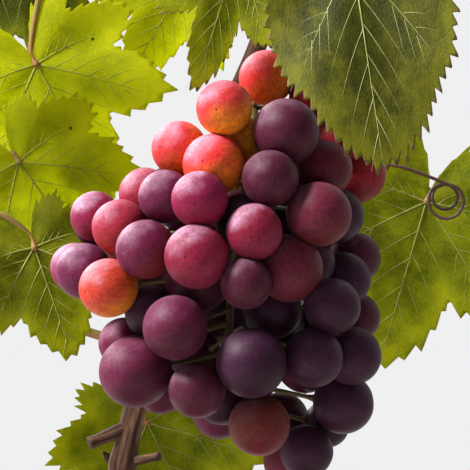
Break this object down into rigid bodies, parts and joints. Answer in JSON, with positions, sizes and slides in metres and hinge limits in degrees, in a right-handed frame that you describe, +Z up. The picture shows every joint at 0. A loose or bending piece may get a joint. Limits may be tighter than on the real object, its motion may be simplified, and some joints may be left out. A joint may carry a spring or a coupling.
{
  "type": "potted grapevine",
  "caption": "Young grapevine in a plain terracotta pot, with lobed leaves and one ripening bunch of round purple and red grapes hanging in front of its cane.",
  "frame": {"origin": "centre of the pot's base, on the surface that it stands on", "axes": "+Z up, from the pot's base to the shoot tips; the bunch hangs on the -Y side, the front; +X is to the right seen from the front"},
  "size_m": [0.4886, 0.282, 0.9183],
  "materials": {
    "terracotta": "matte",
    "potting_soil": "matte",
    "bark": "matte",
    "green_wood": "matte",
    "leaf": "satin",
    "berry_skin": "satin"
  },
  "bodies": {
    "root": {"berries_01": "berry_skin", "berries_02": "berry_skin", "berries_03": "berry_skin", "berries_04": "berry_skin", "berries_05": "berry_skin", "berries_06": "berry_skin", "berries_07": "berry_skin", "berries_08": "berry_skin", "berries_09": "berry_skin", "berries_10": "berry_skin", "berries_11": "berry_skin", "berries_12": "berry_skin", "berries_13": "berry_skin", "berries_14": "berry_skin", "berries_15": "berry_skin", "berries_16": "berry_skin", "berries_17": "berry_skin", "berries_18": "berry_skin", "berries_19": "berry_skin", "berries_20": "berry_skin", "berries_21": "berry_skin", "berries_22": "berry_skin", "berries_23": "berry_skin", "berries_24": "berry_skin", "berries_25": "berry_skin", "berries_26": "berry_skin", "berries_27": "berry_skin", "berries_28": "berry_skin", "berries_29": "berry_skin", "berries_30": "berry_skin", "berries_31": "berry_skin", "berries_32": "berry_skin", "berries_33": "berry_skin", "leaf_back_left": "leaf", "leaf_back_right": "leaf", "leaf_corner_left": "leaf", "leaf_front_right": "leaf", "leaf_front_top": "leaf", "leaf_left_end": "leaf", "leaf_left_low": "leaf", "leaf_left_middle": "leaf", "leaf_left_outer": "leaf", "leaf_low_front": "leaf", "leaf_low_left": "leaf", "leaf_right_end": "leaf", "leaf_right_far": "leaf", "leaf_right_middle": "leaf", "leaf_side_left": "leaf", "leaf_top_back": "leaf", "leaf_top_front": "leaf", "leaf_top_left": "leaf", "leaf_top_young": "leaf", "pot": "terracotta", "rachis": "green_wood", "shoot_left_high": "green_wood", "shoot_left_low": "green_wood", "shoot_right": "green_wood", "soil": "potting_soil", "tendril_right": "green_wood", "trunk": "bark"}
  },
  "joints": []
}
